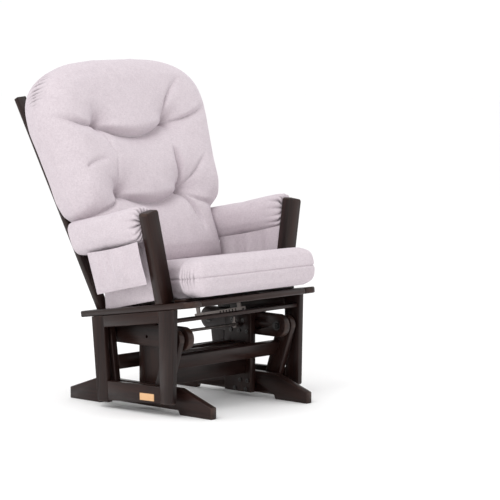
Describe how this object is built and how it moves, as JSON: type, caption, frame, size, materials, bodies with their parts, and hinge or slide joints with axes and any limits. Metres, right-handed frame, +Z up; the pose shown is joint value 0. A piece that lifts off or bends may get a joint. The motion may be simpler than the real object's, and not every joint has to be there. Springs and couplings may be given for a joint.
{
  "type": "glider nursery chair",
  "caption": "Gliding nursery armchair: wooden base, swing links, tilted seat carriage, tufted back cushion, padded arms with side pockets.",
  "frame": {"origin": "middle of the bounding box, on the floor", "axes": "+X to the sitter's left, -Y to the front, +Z up"},
  "size_m": [0.7226, 0.8046, 1.0862],
  "materials": {
    "wood": "satin lacquer, very dark espresso",
    "fabric": "fine woven, pale lavender grey",
    "fastener_steel": "black zinc plated",
    "lock_steel": "dull grey brown plate",
    "badge": "satin tan, blank"
  },
  "bodies": {
    "base": {"foot_right": "wood", "foot_left": "wood", "upper_rail_right": "wood", "upper_rail_left": "wood", "centre_panel_right": "wood", "centre_panel_left": "wood", "stretcher_front": "wood", "stretcher_rear": "wood", "panel_bolts": "fastener_steel", "upper_pivot_bolts": "fastener_steel", "upper_pivot_nuts": "fastener_steel", "upper_spacers": "fastener_steel"},
    "front_swing": {"front_link_right": "wood", "front_link_left": "wood", "front_brace": "wood", "front_bearings": "fastener_steel"},
    "rear_swing": {"rear_link_right": "wood", "rear_link_left": "wood", "rear_brace": "wood", "rear_bearings": "fastener_steel"},
    "carriage": {"front_post_right": "wood", "front_post_left": "wood", "rear_post_right": "wood", "rear_post_left": "wood", "top_rail_right": "wood", "top_rail_left": "wood", "bottom_rail_right": "wood", "bottom_rail_left": "wood", "seat_board_right": "wood", "seat_board_left": "wood", "seat_board_front": "wood", "seat_board_rear": "wood", "tie_bar": "wood", "seat_slats": "wood", "lower_pivot_bolts": "fastener_steel", "lower_spacers": "fastener_steel", "arm_post_right": "wood", "arm_post_left": "wood", "arm_rail_right": "wood", "arm_rail_left": "wood", "arm_pad_right": "fabric", "arm_pad_left": "fabric", "pocket_outer_right": "fabric", "pocket_outer_left": "fabric", "pocket_inner_right": "fabric", "pocket_inner_left": "fabric", "back_post_right": "wood", "back_post_left": "wood", "back_rail_lower": "wood", "back_rail_upper": "wood", "back_slats": "wood", "seat_cushion": "fabric", "back_cushion": "fabric", "lock_racks": "lock_steel", "badge_plate": "badge", "frame_bolts": "fastener_steel"},
    "lock": {"lock_shaft": "lock_steel", "lock_pawls": "lock_steel", "lock_lever": "lock_steel", "lock_knob": "wood"}
  },
  "joints": [
    {"name": "glide", "type": "hinge", "parent": "base", "child": "front_swing", "pos_m": [0, -0.2713, 0.238], "axis": [1, 0, 0], "range_deg": [-16, 6], "stiffness_Nm_per_rad": 20, "springref_deg": -27.1},
    {"name": "carriage_tilt", "type": "hinge", "parent": "front_swing", "child": "carriage", "pos_m": [0, -0.21165, 0.05971], "axis": [1, 0, 0], "range_deg": [-8.6, 22.4]},
    {"name": "rear_swing", "type": "hinge", "parent": "base", "child": "rear_swing", "pos_m": [0, 0.0357, 0.238], "axis": [1, 0, 0], "range_deg": [-16.4, 6.4]},
    {"name": "lock_lever", "type": "hinge", "parent": "base", "child": "lock", "pos_m": [0, -0.1203, 0.232], "axis": [1, 0, 0], "range_deg": [0, 30]}
  ],
  "couplings": [
    {"joint": "carriage_tilt", "follows": "glide", "ratio": -1.381},
    {"joint": "rear_swing", "follows": "glide", "ratio": 1.006}
  ]
}
